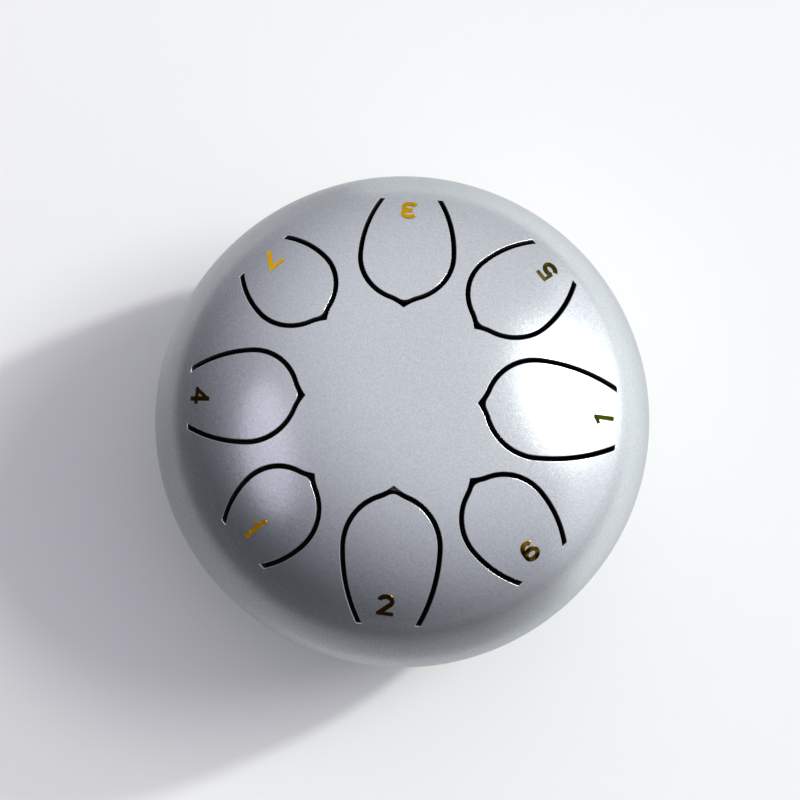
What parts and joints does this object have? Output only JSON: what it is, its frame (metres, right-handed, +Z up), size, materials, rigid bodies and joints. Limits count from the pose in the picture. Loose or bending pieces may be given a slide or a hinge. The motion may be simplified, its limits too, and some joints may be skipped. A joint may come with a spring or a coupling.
{
  "type": "steel tongue drum",
  "caption": "Round steel tongue drum: a domed upper shell slit into petal tongues with gold foil numerals, welded to a flat-based lower shell with a sound hole and rubber feet.",
  "frame": {"origin": "on the drum's axis, at the plane that its feet rest on", "axes": "+Z up along the drum's axis, +X out along the lowest tongue, numeral 1; numeral 3 lies along +Y"},
  "size_m": [0.15, 0.15, 0.0815],
  "materials": {
    "silver_paint": "semi-gloss metallic silver paint over pressed steel",
    "gold_foil": "mirror gold foil transfer",
    "nickel_plate": "nickel plate, dull",
    "black_rubber": "matt moulded rubber",
    "zinc_plate": "black zinc plate"
  },
  "bodies": {
    "drum": {"upper_shell": "silver_paint", "lower_shell": "silver_paint", "seam_weld": "silver_paint", "rubber_foot_1": "black_rubber", "rubber_foot_2": "black_rubber", "rubber_foot_3": "black_rubber", "rubber_foot_4": "black_rubber", "foot_washers": "zinc_plate", "foot_screws": "zinc_plate", "foot_nuts": "zinc_plate"},
    "tongue_1_blade": {"tongue_1": "silver_paint", "numeral_1": "gold_foil", "magnet_1": "nickel_plate"},
    "tongue_2_blade": {"tongue_2": "silver_paint", "numeral_2": "gold_foil", "magnet_2": "nickel_plate"},
    "tongue_3_blade": {"tongue_3": "silver_paint", "numeral_3": "gold_foil", "magnet_3": "nickel_plate"},
    "tongue_4_blade": {"tongue_4": "silver_paint", "numeral_4": "gold_foil", "magnet_4": "nickel_plate"},
    "tongue_5_blade": {"tongue_5": "silver_paint", "numeral_5": "gold_foil", "magnet_5": "nickel_plate"},
    "tongue_6_blade": {"tongue_6": "silver_paint", "numeral_6": "gold_foil", "magnet_6": "nickel_plate"},
    "tongue_7_blade": {"tongue_7": "silver_paint", "numeral_7": "gold_foil", "magnet_7": "nickel_plate"},
    "tongue_8_blade": {"tongue_8": "silver_paint", "numeral_8": "gold_foil", "magnet_8": "nickel_plate"}
  },
  "joints": [
    {"name": "tongue_1_flex", "type": "hinge", "parent": "drum", "child": "tongue_1_blade", "pos_m": [0.0636, 0, 0.06196], "axis": [0, 1, 0], "range_deg": [-1, 1], "stiffness_Nm_per_rad": 1, "springref_deg": 0.13},
    {"name": "tongue_2_flex", "type": "hinge", "parent": "drum", "child": "tongue_2_blade", "pos_m": [0, -0.0636, 0.06196], "axis": [1, 0, 0], "range_deg": [-1, 1], "stiffness_Nm_per_rad": 1, "springref_deg": 0.12},
    {"name": "tongue_3_flex", "type": "hinge", "parent": "drum", "child": "tongue_3_blade", "pos_m": [0, 0.0635, 0.06202], "axis": [-1, 0, 0], "range_deg": [-1, 1], "stiffness_Nm_per_rad": 1, "springref_deg": 0.1},
    {"name": "tongue_4_flex", "type": "hinge", "parent": "drum", "child": "tongue_4_blade", "pos_m": [-0.0623, 0, 0.06278], "axis": [0, -1, 0], "range_deg": [-1, 1], "stiffness_Nm_per_rad": 1, "springref_deg": 0.09},
    {"name": "tongue_5_flex", "type": "hinge", "parent": "drum", "child": "tongue_5_blade", "pos_m": [0.04362, 0.04629, 0.06196], "axis": [-0.7278, 0.6858, 0], "range_deg": [-1, 1], "stiffness_Nm_per_rad": 1, "springref_deg": 0.08},
    {"name": "tongue_6_flex", "type": "hinge", "parent": "drum", "child": "tongue_6_blade", "pos_m": [0.04391, -0.04391, 0.06291], "axis": [0.7071, 0.7071, 0], "range_deg": [-1, 1], "stiffness_Nm_per_rad": 1, "springref_deg": 0.07},
    {"name": "tongue_7_flex", "type": "hinge", "parent": "drum", "child": "tongue_7_blade", "pos_m": [-0.04304, 0.04379, 0.06334], "axis": [-0.7133, -0.7009, 0], "range_deg": [-1, 1], "stiffness_Nm_per_rad": 1, "springref_deg": 0.06},
    {"name": "tongue_8_flex", "type": "hinge", "parent": "drum", "child": "tongue_8_blade", "pos_m": [-0.04366, -0.0426, 0.06359], "axis": [0.6984, -0.7157, 0], "range_deg": [-1, 1], "stiffness_Nm_per_rad": 1, "springref_deg": 0.06}
  ]
}
